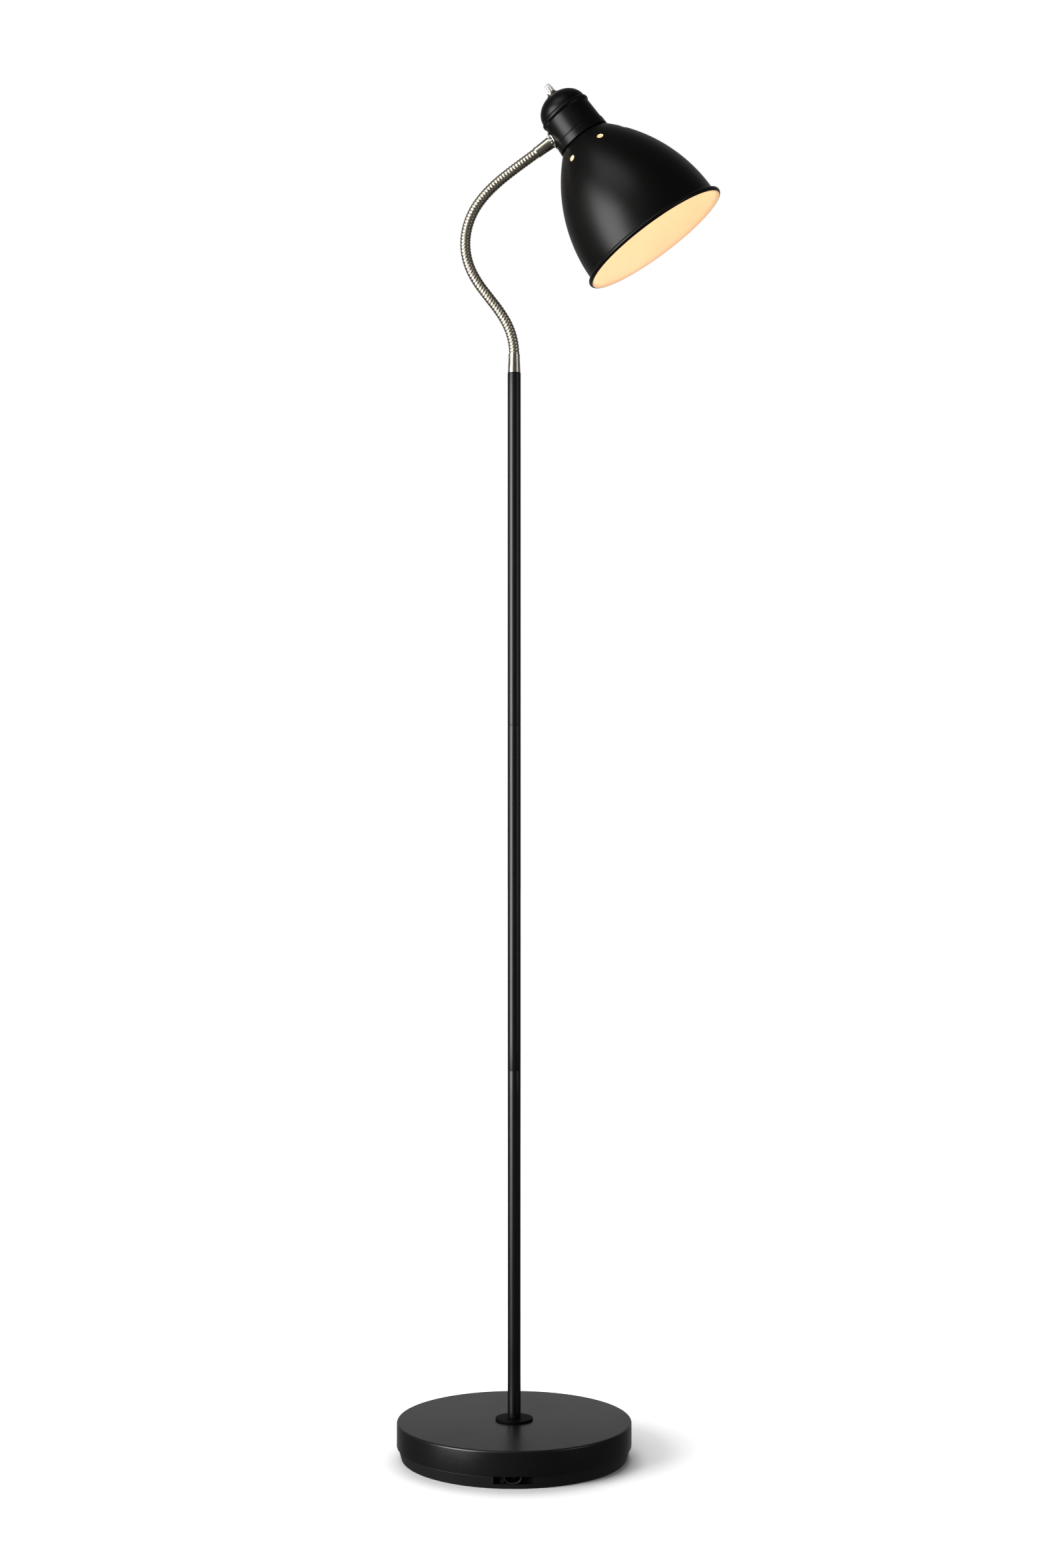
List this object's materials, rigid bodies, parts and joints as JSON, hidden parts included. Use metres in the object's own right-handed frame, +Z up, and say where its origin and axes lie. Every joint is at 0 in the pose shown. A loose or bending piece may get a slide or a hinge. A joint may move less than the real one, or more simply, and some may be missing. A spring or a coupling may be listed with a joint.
{
  "type": "floor reading lamp",
  "caption": "Floor reading lamp with a weighted round foot, slim three-piece pole, flexible neck, bell-shaped metal shade and a turn switch on the cup above it.",
  "frame": {"origin": "centre of the foot pad on the floor, under the pole", "axes": "+Z up the pole; the neck and head lie in the XZ plane with the head towards +X; the cable outlet is close to -Y"},
  "size_m": [0.3438, 0.25, 1.4625],
  "materials": {
    "black_paint": "satin black powder coat; white lacquer inside the shade",
    "black_plastic": "fine matt moulded",
    "cement": "rough cast cement under a coat of black paint",
    "foot_foam": "closed-cell foam sheet",
    "zinc_steel": "zinc plated",
    "brass": "turned brass",
    "lead_sheath": "smooth black sheath",
    "satin_nickel": "satin nickel plate",
    "porcelain": "glazed",
    "bulb_cap": "rolled screw cap",
    "frosted_glass": "frosted warm-white glass, lit",
    "clear_knob": "clear fluted acrylic"
  },
  "bodies": {
    "stand": {"base_cover": "black_paint", "base_weight": "cement", "base_foot_ring": "black_plastic", "base_pad": "foot_foam", "cable_bushing": "black_plastic", "base_lock_nut": "zinc_steel", "base_lock_washer": "zinc_steel", "pole_flange": "black_paint", "base_nipple": "zinc_steel", "pole_foot_bush": "brass", "pole_lower": "black_paint", "pole_middle": "black_paint", "pole_upper": "black_paint", "pole_coupler_lower": "zinc_steel", "pole_coupler_upper": "zinc_steel", "pole_top_bush": "brass", "pole_lead": "lead_sheath", "neck_ferrule_lower": "satin_nickel", "neck_screw_lower": "zinc_steel", "neck_nipple_lower": "zinc_steel", "neck_link_01": "satin_nickel"},
    "neck_02": {"neck_link_02": "satin_nickel"},
    "neck_03": {"neck_link_03": "satin_nickel"},
    "neck_04": {"neck_link_04": "satin_nickel"},
    "neck_05": {"neck_link_05": "satin_nickel"},
    "neck_06": {"neck_link_06": "satin_nickel"},
    "neck_07": {"neck_link_07": "satin_nickel"},
    "neck_08": {"neck_link_08": "satin_nickel"},
    "neck_09": {"neck_link_09": "satin_nickel"},
    "neck_10": {"neck_link_10": "satin_nickel"},
    "neck_11": {"neck_link_11": "satin_nickel"},
    "neck_12": {"neck_link_12": "satin_nickel"},
    "head": {"neck_link_13": "satin_nickel", "neck_ferrule_upper": "satin_nickel", "neck_screw_upper": "zinc_steel", "neck_nipple_upper": "zinc_steel", "neck_nut": "zinc_steel", "neck_washer": "satin_nickel", "neck_saddle": "satin_nickel", "cup": "black_paint", "switch_body": "black_plastic", "switch_seat": "brass", "switch_collar": "satin_nickel", "shade": "black_paint", "lamp_holder": "porcelain", "lamp_holder_shell": "brass", "lamp_holder_contact": "brass", "holder_ring": "porcelain", "bulb_cap": "bulb_cap", "bulb_glass": "frosted_glass"},
    "knob": {"switch_stem": "brass", "switch_knob": "clear_knob"}
  },
  "joints": [
    {"name": "bend_lower_1", "type": "hinge", "parent": "stand", "child": "neck_02", "pos_m": [-0.00277, 0, 1.19474], "axis": [0.001, 1, 0], "range_deg": [-15, 8]},
    {"name": "sway_lower_1", "type": "hinge", "parent": "neck_02", "child": "neck_03", "pos_m": [-0.01073, 0, 1.21303], "axis": [0.8572, 0, 0.515], "range_deg": [-12, 12]},
    {"name": "bend_lower_2", "type": "hinge", "parent": "neck_03", "child": "neck_04", "pos_m": [-0.02205, 0, 1.2295], "axis": [0.001, 1, 0], "range_deg": [-15, 8]},
    {"name": "sway_lower_2", "type": "hinge", "parent": "neck_04", "child": "neck_05", "pos_m": [-0.03422, 0, 1.24537], "axis": [0.7986, 0, 0.6018], "range_deg": [-12, 12]},
    {"name": "bend_lower_3", "type": "hinge", "parent": "neck_05", "child": "neck_06", "pos_m": [-0.04481, 0, 1.26231], "axis": [0.001, 1, 0], "range_deg": [-15, 8]},
    {"name": "sway_lower_3", "type": "hinge", "parent": "neck_06", "child": "neck_07", "pos_m": [-0.0513, 0, 1.28116], "axis": [0.9816, 0, 0.1908], "range_deg": [-12, 12]},
    {"name": "bend_upper_1", "type": "hinge", "parent": "neck_07", "child": "neck_08", "pos_m": [-0.05217, 0, 1.30106], "axis": [0.001, 1, 0], "range_deg": [-15, 8]},
    {"name": "sway_upper_1", "type": "hinge", "parent": "neck_08", "child": "neck_09", "pos_m": [-0.04734, 0, 1.32041], "axis": [0.9272, 0, -0.3746], "range_deg": [-12, 12]},
    {"name": "bend_upper_2", "type": "hinge", "parent": "neck_09", "child": "neck_10", "pos_m": [-0.03752, 0, 1.33777], "axis": [0.001, 1, 0], "range_deg": [-15, 8]},
    {"name": "sway_upper_2", "type": "hinge", "parent": "neck_10", "child": "neck_11", "pos_m": [-0.02416, 0, 1.35261], "axis": [0.682, 0, -0.7314], "range_deg": [-12, 12]},
    {"name": "bend_upper_3", "type": "hinge", "parent": "neck_11", "child": "neck_12", "pos_m": [-0.00885, 0, 1.36546], "axis": [0.001, 1, 0], "range_deg": [-15, 8]},
    {"name": "sway_upper_3", "type": "hinge", "parent": "neck_12", "child": "head", "pos_m": [0.00734, 0, 1.37722], "axis": [0.5736, 0, -0.8192], "range_deg": [-12, 12]},
    {"name": "switch_turn", "type": "hinge", "parent": "head", "child": "knob", "pos_m": [0.03853, 0, 1.45399], "axis": [-0.5736, 0, 0.8192], "continuous": true}
  ],
  "couplings": [
    {"joint": "bend_lower_2", "follows": "bend_lower_1", "ratio": 1},
    {"joint": "sway_lower_2", "follows": "sway_lower_1", "ratio": 1},
    {"joint": "bend_lower_3", "follows": "bend_lower_1", "ratio": 1},
    {"joint": "sway_lower_3", "follows": "sway_lower_1", "ratio": 1},
    {"joint": "bend_upper_2", "follows": "bend_upper_1", "ratio": 1},
    {"joint": "sway_upper_2", "follows": "sway_upper_1", "ratio": 1},
    {"joint": "bend_upper_3", "follows": "bend_upper_1", "ratio": 1},
    {"joint": "sway_upper_3", "follows": "sway_upper_1", "ratio": 1}
  ]
}
